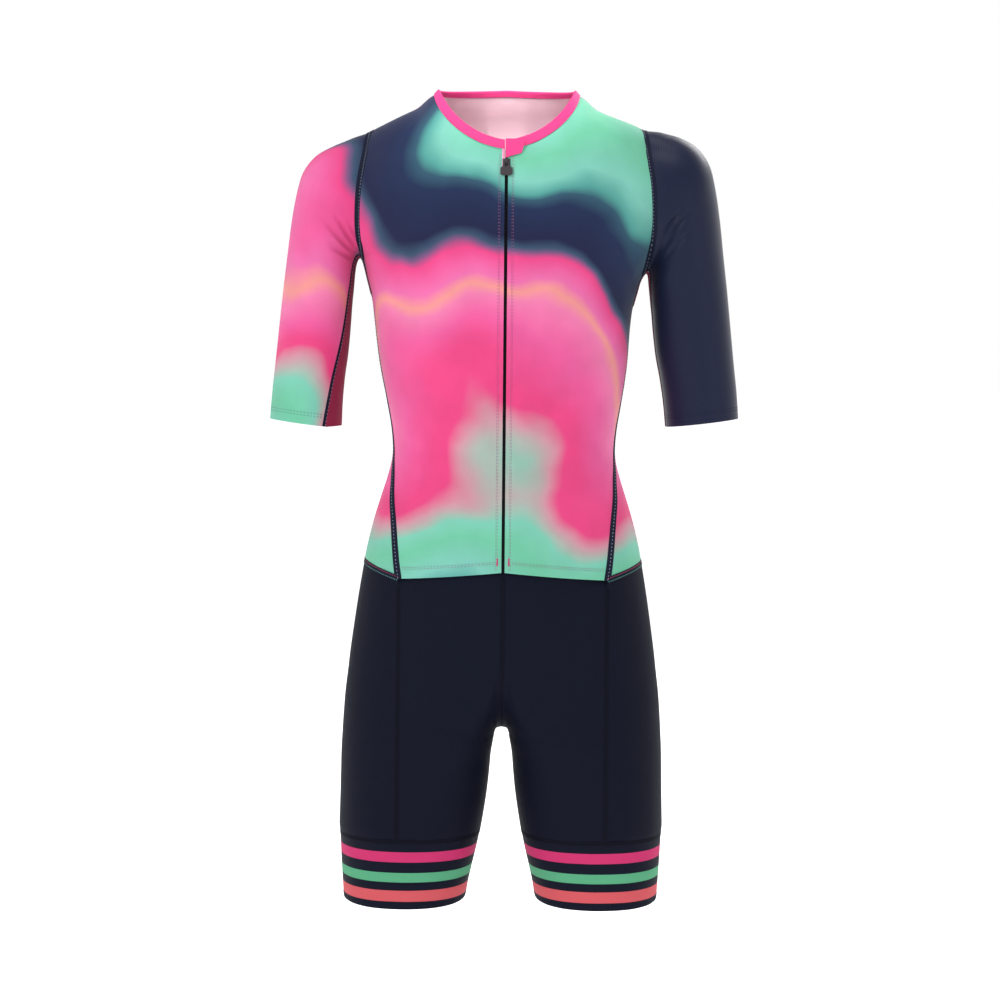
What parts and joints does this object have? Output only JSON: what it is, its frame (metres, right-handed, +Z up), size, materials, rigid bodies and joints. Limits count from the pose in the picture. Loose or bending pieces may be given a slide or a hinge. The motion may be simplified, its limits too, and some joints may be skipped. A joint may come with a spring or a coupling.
{
  "type": "triathlon suit",
  "caption": "one-piece triathlon suit, filled out as worn, with elbow-length sleeves, full-length front zip, free front hem and shorts with striped leg bands",
  "frame": {"origin": "between the shoulders, at the height of the shoulder tips, where the wearer holds the suit", "axes": "+Z up along the body, -Y is the wearer's front, +X is the wearer's left"},
  "size_m": [0.496, 0.2302, 0.8579],
  "materials": {
    "printed_jersey": "printed polyester jersey",
    "navy_mesh": "navy sleeve mesh with a slight sheen",
    "navy_jersey": "navy shorts jersey",
    "crimson_jersey": "dark pink underarm jersey",
    "pink_binding": "pink elastic binding",
    "striped_band": "navy leg band with printed pink, mint and coral stripes",
    "zip_cloth": "black woven zip tape with nylon coil",
    "zip_plastic": "black moulded plastic"
  },
  "bodies": {
    "suit": {"front_left": "printed_jersey", "front_right": "printed_jersey", "back": "printed_jersey", "sleeve_right": "printed_jersey", "sleeve_left": "navy_mesh", "underarm_right": "crimson_jersey", "underarm_left": "crimson_jersey", "neck_binding": "pink_binding", "zip_garage": "pink_binding", "zip_tape": "zip_cloth", "shorts_front_left": "navy_jersey", "shorts_front_right": "navy_jersey", "shorts_back_left": "navy_jersey", "shorts_back_right": "navy_jersey", "leg_band_left": "striped_band", "leg_band_right": "striped_band", "zip_slider": "zip_plastic"},
    "pull_tab": {"zip_pull": "zip_plastic"}
  },
  "joints": [
    {"name": "pull_swing", "type": "hinge", "parent": "suit", "child": "pull_tab", "pos_m": [0, -0.0941, -0.03978], "axis": [-1, 0, 0], "range_deg": [0, 150]}
  ]
}
